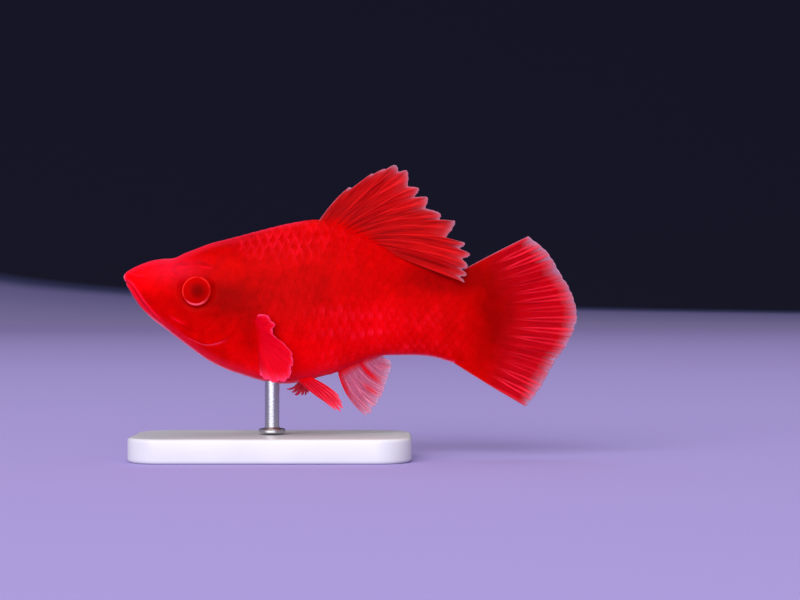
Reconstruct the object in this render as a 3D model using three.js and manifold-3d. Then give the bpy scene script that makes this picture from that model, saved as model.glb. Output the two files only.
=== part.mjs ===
// A female swordtail of the red, high-finned aquarium form, at life size, as a still model on a
// plain display stand. Millimetres, +Z up. The fish swims level with its head towards -X, and its
// left side faces -Y. The origin is the centre of the stand's underside, below the rod.
//
// A place on the fish is given as (s, y, h): s is the distance behind the snout tip, y the distance
// out from the middle plane, negative on the fish's left, and h the height above the swimming axis.

import * as THREE from "three";
import { mergeVertices } from "three/addons/utils/BufferGeometryUtils.js";
import Module from "manifold-3d";

const wasm = await Module();
wasm.setup();

// Driving dimensions
const TOTAL_LENGTH = 75;
const BODY_END = 54;
const AXIS_HEIGHT = 26.2;
const ROD_AT = 24.5;
const GAP = 0.3;
const TAIL_SWING = 2.5;
const SWING_FROM = 30;

// The body's grid
const BODY_RINGS = 43;
const BODY_SECTORS = 32;
const RING_CROWDING = 1.4;

// Fin tissue
const MEMBRANE_HALF = 0.25;
const RAY_HALF = 0.42;
const TIP_HALF = 0.13;
const BRANCH_FROM = 0.45;

// A smooth curve through [place, value] stations, read at any place.
function track(stations) {
  const slopeAt = (i) => {
    const before = stations[Math.max(i - 1, 0)];
    const after = stations[Math.min(i + 1, stations.length - 1)];
    return (after[1] - before[1]) / (after[0] - before[0]);
  };
  return (at) => {
    const place = THREE.MathUtils.clamp(at, stations[0][0], stations.at(-1)[0]);
    let i = stations.findIndex((station) => station[0] > place) - 1;
    if (i < 0) i = stations.length - 2;
    const [s0, v0] = stations[i];
    const [s1, v1] = stations[i + 1];
    const span = s1 - s0;
    const t = (place - s0) / span;
    const rise = (v1 - v0) * t * t * (3 - 2 * t);
    const lean = span * t * (1 - t) * (slopeAt(i) * (1 - t) - slopeAt(i + 1) * t);
    return v0 + rise + lean;
  };
}

// The outline from the side
const backHeight = track([
  [0, 3.8], [0.3, 4.35], [0.8, 4.8], [2.3, 5.6], [4.4, 6.4], [6.2, 6.75], [8.5, 6.95], [10.2, 7.75],
  [11.8, 8.35], [14.3, 9.3], [18.4, 10.4], [23.1, 11.65], [27.5, 12.7], [31.8, 13.3], [34.8, 12.8],
  [38.6, 11.25], [42.4, 9.3], [45.2, 7.6], [48.9, 5.95], [51.4, 4.95], [54, 4.05],
]);
const bellyHeight = track([
  [0, 3.8], [0.35, 2.95], [0.9, 1.85], [1.7, 0.4], [2.9, -1.25], [4.8, -3.1], [6.9, -4.75],
  [11, -7.85], [13.9, -9.9], [16.8, -11.35], [20.1, -12.55], [23.1, -13.4], [26.7, -13.85],
  [30, -13.4], [32.8, -12.6], [35.1, -12], [37.4, -10.9], [39.9, -9.9], [42.7, -9.25], [45.6, -9.15],
  [48.9, -9.2], [51.3, -9.5], [54, -10.3],
]);

// Half the width of the body, and where on the depth it is widest, counted up from the belly
const halfWidth = track([
  [0, 0], [0.15, 0.8], [0.5, 1.4], [1.2, 2], [2.5, 2.6], [5, 3.25], [8, 3.85], [11, 4.3], [15, 4.75],
  [19, 5.3], [24, 5.8], [29, 5.85], [34, 5.3], [39, 4.35], [44, 3.3], [49, 2.35], [54, 1.55],
]);
const widestAt = track([
  [0, 0.6], [3, 0.66], [8, 0.62], [14, 0.52], [22, 0.45], [30, 0.42], [38, 0.48], [54, 0.52],
]);

// Roundness of each section above and below its widest line: 2 is an ellipse, more is fuller
const backPower = track([[0, 2.3], [6, 2.5], [14, 2.2], [24, 1.95], [32, 1.7], [42, 1.7], [54, 1.9]]);
const bellyPower = track([[0, 2.1], [6, 1.9], [14, 1.85], [24, 2.1], [32, 2.1], [42, 1.9], [54, 1.9]]);

// The body's cross-section at s, larger all round by grow.
function sectionAt(s, grow = 0) {
  const top = backHeight(s) + grow;
  const bottom = bellyHeight(s) - grow;
  return {
    top,
    bottom,
    half: halfWidth(s) + grow,
    middle: bottom + (top - bottom) * widestAt(s),
    backPower: backPower(s),
    bellyPower: bellyPower(s),
  };
}

// How far the body reaches out from the middle plane at a place on its side.
function reachAt(s, h, grow = 0) {
  const section = sectionAt(s, grow);
  const above = h > section.middle;
  const depth = above ? section.top - section.middle : section.middle - section.bottom;
  const power = above ? section.backPower : section.bellyPower;
  const share = Math.min(Math.abs(h - section.middle) / depth, 1);
  return section.half * (1 - share ** power) ** (1 / power);
}

// The height of the belly's surface at a distance y from the middle plane.
function undersideAt(s, y) {
  const section = sectionAt(s);
  const share = Math.min(Math.abs(y) / section.half, 1);
  const drop = (1 - share ** section.bellyPower) ** (1 / section.bellyPower);
  return section.middle - (section.middle - section.bottom) * drop;
}

// A place on the fish as a point of the model, with the tail's gentle swing to the right.
function placed(s, y, h) {
  const swung = Math.max(0, (s - SWING_FROM) / (TOTAL_LENGTH - SWING_FROM));
  return new THREE.Vector3(s - ROD_AT, y + TAIL_SWING * swung * swung, AXIS_HEIGHT + h);
}

// A closed geometry as a solid that can be joined and cut.
function solidOf(geometry) {
  const bare = geometry.clone();
  bare.deleteAttribute("normal");
  bare.deleteAttribute("uv");
  const merged = mergeVertices(bare, 1e-4);
  return new wasm.Manifold(
    new wasm.Mesh({
      numProp: 3,
      vertProperties: merged.attributes.position.array,
      triVerts: new Uint32Array(merged.index.array),
    }),
  );
}

// A solid's largest closed surface, as a named mesh.
function meshOf(name, solid, material) {
  const pieces = solid.decompose().sort((a, b) => b.volume() - a.volume());
  const made = pieces[0].getMesh();
  const geometry = new THREE.BufferGeometry();
  geometry.setAttribute("position", new THREE.BufferAttribute(made.vertProperties, 3));
  geometry.setIndex(new THREE.BufferAttribute(made.triVerts, 1));
  geometry.computeVertexNormals();
  const mesh = new THREE.Mesh(geometry, material);
  mesh.name = name;
  return mesh;
}

// The whole body in one piece, from the snout to the root of the tail fin.
function bodySolid(grow = 0) {
  const geometry = new THREE.SphereGeometry(1, BODY_SECTORS, BODY_RINGS);
  const { position, uv } = geometry.attributes;
  const spow = (value, power) => Math.sign(value) * Math.abs(value) ** power;
  for (let i = 0; i < position.count; i++) {
    const ring = Math.round((1 - uv.getY(i)) * BODY_RINGS);
    const atPole = ring === 0 || ring === BODY_RINGS;
    const share = Math.min(ring / (BODY_RINGS - 1), 1) ** RING_CROWDING;
    const s = BODY_END * share + grow * (2 * share - 1);
    const angle = 2 * Math.PI * uv.getX(i);
    const section = sectionAt(s, grow);
    const above = Math.sin(angle) > 0;
    const depth = above ? section.top - section.middle : section.middle - section.bottom;
    const power = 2 / (above ? section.backPower : section.bellyPower);
    const y = atPole ? 0 : section.half * spow(Math.cos(angle), power);
    const h = section.middle + (atPole ? 0 : depth * spow(Math.sin(angle), power));
    position.setXYZ(i, ...placed(s, -y, h));
  }
  return solidOf(geometry);
}

// A side-view outline of [s, h] points as a prism across the body, between two distances y.
function prism(points, fromY, toY, shift = 0) {
  const shape = new THREE.Shape(points.map(([s, h]) => new THREE.Vector2(s + shift, h)));
  const geometry = new THREE.ExtrudeGeometry(shape, { depth: toY - fromY, bevelEnabled: false });
  geometry.rotateX(Math.PI / 2);
  geometry.translate(-ROD_AT, toY, AXIS_HEIGHT);
  return solidOf(geometry);
}

// A smooth line through [s, h] points, as more points.
function smoothLine(points, steps) {
  const curve = new THREE.SplineCurve(points.map(([s, h]) => new THREE.Vector2(s, h)));
  return curve.getPoints(steps).map((point) => [point.x, point.y]);
}

// An ellipsoid about a point, with its short axis along a direction.
function ellipsoid(centre, radius, depth, axis, columns, rows) {
  const geometry = new THREE.SphereGeometry(1, columns, rows);
  geometry.scale(radius, depth, radius);
  const turn = new THREE.Quaternion().setFromUnitVectors(new THREE.Vector3(0, 1, 0), axis);
  geometry.applyQuaternion(turn);
  geometry.translate(...centre);
  return solidOf(geometry);
}

// Lines that part the body
const GILL_LINE = smoothLine(
  [[17.2, 14], [18.6, 9.6], [20.3, 4.8], [20.7, 0], [20.1, -4], [18.2, -7.6], [15.2, -10], [10.6, -14]],
  20,
);
const MOUTH_LINE = smoothLine([[-1.5, 4], [0, 3.25], [1.7, 2], [3.8, -0.75], [6, -3.4], [8.4, -6.6]], 12);
const TAIL_LINE = smoothLine([[43, 16], [45.2, 3], [45.2, -3], [42.8, -16]], 8);
const FAR = 20;

// Everything in front of a line, as a solid.
function frontOf(line, shift) {
  return prism([...line, [-FAR, line.at(-1)[1]], [-FAR, line[0][1]]], -FAR, FAR, shift);
}

// The eyes: each is a flattened ball in a socket, with the orbit's rim round it
const EYE = { s: 12.45, h: 1.5, radius: 2.68, depth: 1.3, sunk: 0.5, rim: 3.1, rimThickness: 0.3 };

function eyeFrame(side) {
  const axis = new THREE.Vector3(-0.1, side, 0.1).normalize();
  const surface = placed(EYE.s, side * reachAt(EYE.s, EYE.h), EYE.h);
  return { axis, surface, centre: surface.clone().addScaledVector(axis, -EYE.sunk) };
}

function eyeSolid(side, grow = 0) {
  const { axis, centre } = eyeFrame(side);
  return ellipsoid(centre, EYE.radius + grow, EYE.depth + grow, axis, 24, 12);
}

function orbitRim(side) {
  const { axis, surface } = eyeFrame(side);
  const geometry = new THREE.TorusGeometry(EYE.rim, EYE.rimThickness, 6, 26);
  const turn = new THREE.Quaternion().setFromUnitVectors(new THREE.Vector3(0, 0, 1), axis);
  geometry.applyQuaternion(turn);
  geometry.translate(...surface.addScaledVector(axis, -0.45 * EYE.rimThickness));
  return solidOf(geometry);
}

// A lip: a slender roll round the front of the snout, beside the line of the mouth.
const LIP_RADIUS = 0.38;
function lip(offset) {
  const side = [[3.1, 0.2], [2.2, 1.4], [1.3, 2.35], [0.6, 2.95], [0.25, 3.2]];
  const path = [];
  for (const [s, h] of side) path.push([s, reachAt(s, h + offset), h + offset]);
  path.push([0.02, 0, 3.3 + offset]);
  for (const [s, y, h] of path.slice(0, -1).reverse()) path.push([s, -y, h]);
  const line = new THREE.CatmullRomCurve3(path.map((point) => placed(...point)));
  const section = new THREE.Shape().absarc(0, 0, LIP_RADIUS, 0, 2 * Math.PI);
  const roll = { steps: 18, curveSegments: 3, bevelEnabled: false, extrudePath: line };
  return solidOf(new THREE.ExtrudeGeometry(section, roll));
}

// The two nostrils on each side, in front of the eye
const NOSTRILS = [{ s: 9.1, h: 4.05, radius: 0.4 }, { s: 6.7, h: 4.45, radius: 0.32 }];

function nostril(side, { s, h, radius }) {
  const centre = placed(s, side * reachAt(s, h), h);
  return ellipsoid(centre, radius, radius, new THREE.Vector3(0, side, 0), 8, 6);
}

// The gill cover: a curved plate that stands a little proud of the cheek and ends at the gill slit
const GILL_COVER = smoothLine(
  [[16, 4.4], [18.2, 4.6], [19.6, 2.8], [20, 0], [19.5, -3.2], [17.7, -6.4], [15.1, -7.5], [13.6, -6.3],
    [14.7, -3.4], [15.6, 0.6], [16, 4.4]],
  30,
).slice(0, -1);
const COVER_PROUD = 0.22;
const COVER_THICKNESS = 1;

function grownOutline(points, margin) {
  const box = new THREE.Box2().setFromPoints(points.map(([s, h]) => new THREE.Vector2(s, h)));
  const size = box.getSize(new THREE.Vector2());
  const middle = box.getCenter(new THREE.Vector2());
  return points.map(([s, h]) => [
    middle.x + (s - middle.x) * (1 + (2 * margin) / size.x),
    middle.y + (h - middle.y) * (1 + (2 * margin) / size.y),
  ]);
}

function sidePrism(points, side) {
  return side < 0 ? prism(points, -FAR, -1) : prism(points, 1, FAR);
}

// A closed thin sheet: a grid of points in the sheet's middle, thick by half on either side.
function sheet(columns, rows, middle, half, across) {
  const plane = new THREE.PlaneGeometry(1, 1, columns, rows);
  const { uv } = plane.attributes;
  const count = uv.count;
  const points = new Float32Array(count * 6);
  for (let i = 0; i < count; i++) {
    const along = 1 - uv.getY(i);
    const centre = middle(along, uv.getX(i));
    const offset = across.clone().multiplyScalar(half(along, uv.getX(i)));
    centre.clone().add(offset).toArray(points, i * 3);
    centre.clone().sub(offset).toArray(points, (count + i) * 3);
  }
  const front = [...plane.index.array];
  const faces = [...front];
  const edges = new Map();
  for (let i = 0; i < front.length; i += 3) {
    const corners = front.slice(i, i + 3);
    faces.push(corners[2] + count, corners[1] + count, corners[0] + count);
    corners.forEach((a, k) => edges.set(`${a},${corners[(k + 1) % 3]}`, [a, corners[(k + 1) % 3]]));
  }
  for (const [a, b] of edges.values()) {
    if (edges.has(`${b},${a}`)) continue;
    faces.push(b, a, a + count, b, a + count, b + count);
  }
  const geometry = new THREE.BufferGeometry();
  geometry.setAttribute("position", new THREE.BufferAttribute(points, 3));
  geometry.setIndex(faces);
  const made = solidOf(geometry);
  return made.volume() > 0 ? made : solidOf(geometry.setIndex(faces.reverse()));
}

// A steady pseudo-random number from 0 to 1 for a whole number.
function scatter(n) {
  const wave = Math.sin(n * 12.9898 + 4.1414) * 43758.5453;
  return wave - Math.floor(wave);
}

// A fin of soft rays. root, bend and tip are curves across the fin, from its first ray to its last:
// each ray leaves its root, turns towards its bend and ends at its tip. The rays stand up as ridges
// that fork in the outer half, and the membrane between them is a little shorter.
function finSolid({ rays, rows, root, bend, tip, notch, across, rootHalf = () => MEMBRANE_HALF }) {
  const columns = 4 * (rays - 1);
  const part = (v) => Math.round(v * columns) % 4;
  const middle = (u, v) => {
    const column = Math.round(v * columns);
    const ragged = notch * (0.55 + 0.9 * scatter(column + 31 * rays));
    const shorter = [0.35 * ragged, 0, ragged, 0][part(v)];
    const t = u * (1 - shorter);
    const start = root(v).multiplyScalar((1 - t) * (1 - t));
    const turn = bend(v).multiplyScalar(2 * t * (1 - t));
    const [s, y, h] = tip(v).multiplyScalar(t * t).add(start).add(turn);
    return placed(s, y, h);
  };
  const half = (u, v) => {
    const forked = THREE.MathUtils.smoothstep(u, BRANCH_FROM, BRANCH_FROM + 0.2);
    const ridge = RAY_HALF - MEMBRANE_HALF;
    const height = [1 - 0.8 * forked, 0.35 + 0.55 * forked, 0, 0.35 + 0.55 * forked][part(v)];
    const flesh = Math.max(0, 1 - u / 0.45) ** 1.7;
    const body = MEMBRANE_HALF + ridge * height;
    const tissue = body + (Math.max(rootHalf(v), body) - body) * flesh;
    return THREE.MathUtils.lerp(tissue, TIP_HALF, THREE.MathUtils.smoothstep(u, 0.8, 1));
  };
  return sheet(columns, rows, middle, half, across);
}

// A curve of (s, y, h) points, read by its share across the fin.
function across3(points) {
  const curve = new THREE.CatmullRomCurve3(points.map((point) => new THREE.Vector3(...point)));
  return (v) => curve.getPoint(v);
}

// The same with straight runs between the points, for a torn or toothed edge.
function toothed3(points) {
  const corners = points.map((point) => new THREE.Vector3(...point));
  return (v) => {
    const at = v * (corners.length - 1);
    const i = Math.min(Math.floor(at), corners.length - 2);
    return corners[i].clone().lerp(corners[i + 1], at - i);
  };
}

const SIDEWAYS = new THREE.Vector3(0, 1, 0);

// The high dorsal fin, whose last rays droop past the root of the tail on the left side
const DORSAL_BASE = [32.4, 42.2];
const dorsalTip = toothed3([
  [37.2, 0, 18.65], [37.8, 0, 18.6], [40.9, 0, 20.9], [41.4, 0, 20.95], [42.9, 0, 21.7],
  [43.4, 0, 21.75], [44.8, 0, 22.4], [45.7, 0, 21.4], [46.9, 0, 21.5], [47.2, 0, 18.9],
  [48.9, 0, 18.5], [48.3, 0, 17.1], [50.3, 0, 17.1], [50.1, 0, 15.2], [52.4, 0, 14.4],
  [52.6, 0, 13.3], [55.1, -0.1, 13.1], [53.6, -0.2, 10.2], [56.6, -0.5, 9.4], [56, -0.7, 8.3],
  [57.3, -0.9, 7.6], [56.4, -1.1, 6.6], [57, -1.3, 5.4], [56.2, -1.4, 4.9], [56.8, -1.6, 4.1],
  [55.9, -1.8, 3.7], [56.4, -1.9, 2.8],
]);
const dorsalBend = across3([
  [34.3, 0, 16.4], [40.2, 0, 17.7], [43.6, 0, 14.3], [46.6, -0.2, 10.9], [47, -1.35, 6.3],
]);

function dorsalRoot(v) {
  const s = THREE.MathUtils.lerp(...DORSAL_BASE, v);
  return new THREE.Vector3(s, 0, backHeight(s) + GAP);
}

// The tail fin, a wide fan that grows out of the end of the body
const CAUDAL_START = BODY_END + GAP;
const caudalTip = across3([
  [66.9, 0, 10.6], [70.05, 0, 7.95], [72.3, 0, 4.4], [74.35, 0, 0.75], [TOTAL_LENGTH, 0, -3.3],
  [73.4, 0, -7.35], [71, 0, -10.85], [69, 0, -14.5], [66.5, 0, -17.7],
]);

function caudalRoot(v) {
  const { top, bottom } = sectionAt(BODY_END);
  return new THREE.Vector3(CAUDAL_START, 0, THREE.MathUtils.lerp(top, bottom, v));
}

function caudalBend(v) {
  const edge = Math.abs(2 * v - 1) ** 6;
  const start = caudalRoot(v);
  const end = caudalTip(v);
  const spread = 0.36 + 0.18 * edge;
  return new THREE.Vector3((start.x + end.x) / 2, 0, THREE.MathUtils.lerp(start.z, end.z, spread));
}

// The anal fin, a small fan as females have
const ANAL_BASE = [35.3, 42.4];
const analTip = across3([
  [40, 0, -19.2], [41, 0, -18.3], [42.3, 0, -16.5], [43, 0, -15], [43.3, 0, -13.9], [43.7, 0, -12.5],
  [44.15, 0, -11.3], [44.2, 0, -10.5], [43.9, 0, -9.85],
]);
const analBend = across3([[36.2, 0, -16.3], [40.6, 0, -12.9], [43.2, 0, -9.85]]);

function analRoot(v) {
  const s = THREE.MathUtils.lerp(...ANAL_BASE, v);
  return new THREE.Vector3(s, 0, bellyHeight(s) - GAP);
}

// The pectoral fins stand off the flank behind the gill covers and hang down past the belly
const PECTORAL_ROOT_HALF = 0.45;
const pectoralTip = across3([
  [22.6, -6.7, -2.4], [24.3, -6.9, -2.5], [25.5, -7.1, -4], [25.1, -7.3, -5.5], [26.7, -7.6, -6.8],
  [28.2, -8, -8.5], [28.45, -8.2, -10.1], [28, -8.4, -12.3], [27, -8.6, -13.3], [25.4, -8.6, -13.4],
  [23.3, -8.4, -12.6],
]);
const pectoralBend = across3([[22.4, -6.9, -3], [24.6, -7.2, -6], [24.6, -7.4, -8.4], [22.8, -7.5, -10]]);

function pectoralRoot(v) {
  const s = 22 + 0.5 * v;
  const h = THREE.MathUtils.lerp(-3.4, -7.4, v);
  return new THREE.Vector3(s, -(reachAt(s, h) + GAP + PECTORAL_ROOT_HALF), h);
}

// The pelvic fins hang from the belly: the left one swept back, the right one spread out
const PELVIC_BASE = [28.9, 30.9];
const PELVIC_OUT = 1.5;

function pelvicRoot(side) {
  return (v) => {
    const s = THREE.MathUtils.lerp(...PELVIC_BASE, v);
    return new THREE.Vector3(s, side * PELVIC_OUT, undersideAt(s, PELVIC_OUT) - GAP);
  };
}

const pelvicLeft = {
  root: pelvicRoot(-1),
  bend: across3([[30.6, -2, -15.1], [32.8, -2, -14.8], [33.9, -1.9, -13.9]]),
  tip: across3([
    [33.4, -2.6, -16.7], [34.8, -2.6, -18], [35.8, -2.6, -18.2], [36.3, -2.5, -17.3], [35.6, -2.4, -15.6],
  ]),
  across: new THREE.Vector3(0, 0.98, -0.2),
};
const pelvicRight = {
  root: pelvicRoot(1),
  bend: across3([[28.3, 3.6, -14.9], [29.7, 3.9, -15.1], [30.8, 3.6, -14.7]]),
  tip: across3([
    [27.1, 5.6, -14.8], [28.2, 6.4, -15.3], [29.4, 6.7, -15.7], [30.2, 6.4, -15.3], [30.7, 5.8, -14.7],
  ]),
  across: new THREE.Vector3(0, 0.3, 0.95),
};

// The display stand
const BASE_LENGTH = 46;
const BASE_WIDTH = 24;
const BASE_THICKNESS = 4;
const BASE_CORNER = 6;
const BASE_BEVEL = 0.6;
const ROD_RADIUS = 1.2;
const COLLAR_RADIUS = 2.2;
const COLLAR_HEIGHT = 0.9;

function baseSolid() {
  const halfLength = BASE_LENGTH / 2 - BASE_BEVEL;
  const halfBreadth = BASE_WIDTH / 2 - BASE_BEVEL;
  const corner = BASE_CORNER - BASE_BEVEL;
  const shape = new THREE.Shape();
  shape.absarc(halfLength - corner, halfBreadth - corner, corner, 0, Math.PI / 2);
  shape.absarc(corner - halfLength, halfBreadth - corner, corner, Math.PI / 2, Math.PI);
  shape.absarc(corner - halfLength, corner - halfBreadth, corner, Math.PI, 1.5 * Math.PI);
  shape.absarc(halfLength - corner, corner - halfBreadth, corner, 1.5 * Math.PI, 2 * Math.PI);
  const rounding = { bevelSize: BASE_BEVEL, bevelThickness: BASE_BEVEL, bevelSegments: 2 };
  const depth = BASE_THICKNESS - 2 * BASE_BEVEL;
  const geometry = new THREE.ExtrudeGeometry(shape, { depth, curveSegments: 6, ...rounding });
  geometry.translate(0, 0, BASE_BEVEL);
  return solidOf(geometry);
}

function rodSolid(clearOf) {
  const low = BASE_THICKNESS + GAP;
  const profile = [
    [0, low], [COLLAR_RADIUS, low], [COLLAR_RADIUS, low + 0.6 * COLLAR_HEIGHT],
    [ROD_RADIUS, low + COLLAR_HEIGHT], [ROD_RADIUS, AXIS_HEIGHT - 8], [0, AXIS_HEIGHT - 8],
  ];
  const geometry = new THREE.LatheGeometry(profile.map(([r, z]) => new THREE.Vector2(r, z)), 24);
  geometry.rotateX(Math.PI / 2);
  return solidOf(geometry).subtract(clearOf);
}

// Materials
function material(colour, roughness, metalness = 0) {
  return new THREE.MeshStandardMaterial({ color: colour, roughness, metalness });
}
const skin = material(0xd40a0c, 0.42);
const finRed = material(0xd91420, 0.5);
const finPale = material(0xd8707c, 0.5);
const eyeRed = material(0xb00c08, 0.15);
const standWhite = material(0xe4e2e6, 0.35);
const standSteel = material(0xb8babd, 0.3, 1);

// The body and its parts
const whole = bodySolid();
const parts = [];

let head = whole.intersect(frontOf(GILL_LINE, -GAP / 2));
head = head.add(lip(LIP_RADIUS + 0.1)).add(lip(-LIP_RADIUS - 0.1));
for (const side of [-1, 1]) {
  head = head.add(orbitRim(side).subtract(eyeSolid(side)));
  head = head.subtract(eyeSolid(side, GAP));
  for (const hole of NOSTRILS) head = head.subtract(nostril(side, hole));
  const sideName = side < 0 ? "left" : "right";
  parts.push(meshOf(`eye_${sideName}`, eyeSolid(side), eyeRed));
  const plate = bodySolid(COVER_PROUD).intersect(sidePrism(GILL_COVER, side));
  const inside = bodySolid(COVER_PROUD - COVER_THICKNESS);
  parts.push(meshOf(`gill_cover_${sideName}`, plate.subtract(inside), skin));
  const recess = sidePrism(grownOutline(GILL_COVER, GAP), side);
  head = head.subtract(recess.subtract(bodySolid(COVER_PROUD - COVER_THICKNESS - GAP)));
}
parts.push(meshOf("lower_jaw", head.intersect(frontOf(MOUTH_LINE, -GAP / 2)), skin));
parts.push(meshOf("head", head.subtract(frontOf(MOUTH_LINE, GAP / 2)), skin));

const behindHead = whole.subtract(frontOf(GILL_LINE, GAP / 2));
parts.push(meshOf("trunk", behindHead.intersect(frontOf(TAIL_LINE, -GAP / 2)), skin));
parts.push(meshOf("tail_stalk", behindHead.subtract(frontOf(TAIL_LINE, GAP / 2)), skin));

// The fins
const dorsal = { rays: 14, rows: 8, notch: 0.012, across: SIDEWAYS };
const dorsalFin = finSolid({ ...dorsal, root: dorsalRoot, bend: dorsalBend, tip: dorsalTip });
parts.push(meshOf("dorsal_fin", dorsalFin, finRed));

const caudal = { rays: 16, rows: 8, notch: 0.03, across: SIDEWAYS };
const stalkHalf = (v) => reachAt(BODY_END, caudalRoot(v).z);
const caudalCurves = { root: caudalRoot, bend: caudalBend, tip: caudalTip, rootHalf: stalkHalf };
parts.push(meshOf("tail_fin", finSolid({ ...caudal, ...caudalCurves }), finRed));

const anal = { rays: 9, rows: 6, notch: 0.07, across: SIDEWAYS };
const analFin = finSolid({ ...anal, root: analRoot, bend: analBend, tip: analTip });
parts.push(meshOf("anal_fin", analFin, finPale));

const pectoral = { rays: 9, rows: 6, notch: 0.06, across: new THREE.Vector3(0.1, 0.97, 0.2) };
const pectoralHalf = () => PECTORAL_ROOT_HALF;
const pectoralCurves = { root: pectoralRoot, bend: pectoralBend, tip: pectoralTip, rootHalf: pectoralHalf };
const pectoralLeft = finSolid({ ...pectoral, ...pectoralCurves });
parts.push(meshOf("pectoral_fin_left", pectoralLeft, finRed));
parts.push(meshOf("pectoral_fin_right", pectoralLeft.mirror([0, 1, 0]), finRed));

const pelvic = { rays: 5, rows: 6, notch: 0.08 };
parts.push(meshOf("pelvic_fin_left", finSolid({ ...pelvic, ...pelvicLeft }), finRed));
parts.push(meshOf("pelvic_fin_right", finSolid({ ...pelvic, ...pelvicRight }), finRed));

// The stand
parts.push(meshOf("stand_base", baseSolid(), standWhite));
parts.push(meshOf("stand_rod", rodSolid(bodySolid(GAP)), standSteel));

const swordtail = new THREE.Group();
swordtail.add(...parts);
export default swordtail;
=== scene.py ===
import math
import random
from dataclasses import dataclass

import bmesh
import bpy
import numpy as np
from mathutils import Euler, Matrix, Vector


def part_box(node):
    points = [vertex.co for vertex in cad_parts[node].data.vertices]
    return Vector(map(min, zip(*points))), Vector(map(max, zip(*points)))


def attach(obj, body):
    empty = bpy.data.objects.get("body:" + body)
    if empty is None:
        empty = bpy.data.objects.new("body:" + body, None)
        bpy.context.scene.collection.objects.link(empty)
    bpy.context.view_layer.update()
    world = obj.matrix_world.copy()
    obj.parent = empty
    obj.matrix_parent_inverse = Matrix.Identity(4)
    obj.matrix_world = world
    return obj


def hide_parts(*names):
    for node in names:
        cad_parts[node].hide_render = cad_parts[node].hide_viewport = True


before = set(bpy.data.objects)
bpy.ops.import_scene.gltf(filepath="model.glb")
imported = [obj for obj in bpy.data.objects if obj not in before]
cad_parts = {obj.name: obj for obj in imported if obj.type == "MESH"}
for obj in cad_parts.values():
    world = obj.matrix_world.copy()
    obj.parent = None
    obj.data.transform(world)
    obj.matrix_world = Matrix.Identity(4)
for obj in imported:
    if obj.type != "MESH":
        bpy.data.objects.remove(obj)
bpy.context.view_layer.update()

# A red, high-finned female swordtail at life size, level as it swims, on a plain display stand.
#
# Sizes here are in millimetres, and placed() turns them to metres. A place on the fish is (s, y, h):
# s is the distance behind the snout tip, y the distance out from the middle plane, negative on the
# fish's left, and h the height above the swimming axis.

MM = 0.001
random.seed(75)

# Driving dimensions
TOTAL_LENGTH = 75
BODY_END = 54
AXIS_HEIGHT = 26.2
ROD_AT = 24.5
TAIL_SWING = 2.5
SWING_FROM = 30
EYE_AT = (12.45, 1.5)
EYE_RADIUS = 2.66
SIDES = {"left": -1, "right": 1}


# Curves and small helpers

def track(stations):
    """A smooth curve through (place, value) stations, read at a place or at an array of places."""
    places = np.array([station[0] for station in stations], dtype=float)
    values = np.array([station[1] for station in stations], dtype=float)
    slopes = np.empty_like(values)
    slopes[1:-1] = (values[2:] - values[:-2]) / (places[2:] - places[:-2])
    slopes[0] = (values[1] - values[0]) / (places[1] - places[0])
    slopes[-1] = (values[-1] - values[-2]) / (places[-1] - places[-2])

    def read(at):
        at = np.clip(at, places[0], places[-1])
        i = np.clip(np.searchsorted(places, at, side="right") - 1, 0, len(places) - 2)
        span = places[i + 1] - places[i]
        t = (at - places[i]) / span
        rise = (values[i + 1] - values[i]) * t * t * (3 - 2 * t)
        lean = span * t * (1 - t) * (slopes[i] * (1 - t) - slopes[i + 1] * t)
        return values[i] + rise + lean

    return read


def curve(points):
    """A smooth curve through (s, y, h) points, read by the share of the way along it."""
    last = len(points) - 1
    tracks = [track([(i / last, point[axis]) for i, point in enumerate(points)]) for axis in range(3)]
    return lambda v: np.stack([read(v) for read in tracks], axis=-1)


def smoothstep(low, high, x):
    t = np.clip((x - low) / (high - low), 0, 1)
    return t * t * (3 - 2 * t)


def bell(x, width):
    return np.exp(-((x / width) ** 2))


def placed(s, y, h):
    """Places on the fish as points in metres, with the tail's gentle swing to the right."""
    swung = np.maximum(0, (s - SWING_FROM) / (TOTAL_LENGTH - SWING_FROM))
    x = np.asarray(s) - ROD_AT
    points = np.stack(np.broadcast_arrays(x, y + TAIL_SWING * swung**2, AXIS_HEIGHT + h), axis=-1)
    return points * MM


def linear(hex_colour):
    """An sRGB hex colour as linear red, green, blue and alpha."""
    channels = [int(hex_colour[i:i + 2], 16) / 255 for i in (1, 3, 5)]
    return [c / 12.92 if c <= 0.04045 else ((c + 0.055) / 1.055) ** 2.4 for c in channels] + [1.0]


def in_scene(name, data):
    made = bpy.data.objects.new(name, data)
    bpy.context.scene.collection.objects.link(made)
    return made


def object_from(bm, name, material):
    """The finished mesh as a smooth-shaded object in the scene."""
    mesh = bpy.data.meshes.new(name)
    for face in bm.faces:
        face.smooth = True
    bm.to_mesh(mesh)
    bm.free()
    mesh.materials.append(material)
    return in_scene(name, mesh)


def piece_from(bm, name, material):
    """The finished mesh as a piece that rides with the fish and its stand."""
    piece = object_from(bm, name, material)
    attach(piece, "root")
    return piece


def coordinates(bm):
    return np.array([vert.co for vert in bm.verts])


def move_to(bm, points):
    for vert, point in zip(bm.verts, points):
        vert.co = point


def label(bm, **values):
    """Stores arrays of numbers on the mesh's points, for a material to read by name."""
    for name, numbers in values.items():
        layer = bm.verts.layers.float.new(name)
        for vert, number in zip(bm.verts, numbers):
            vert[layer] = float(number)


# The body's shape

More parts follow.
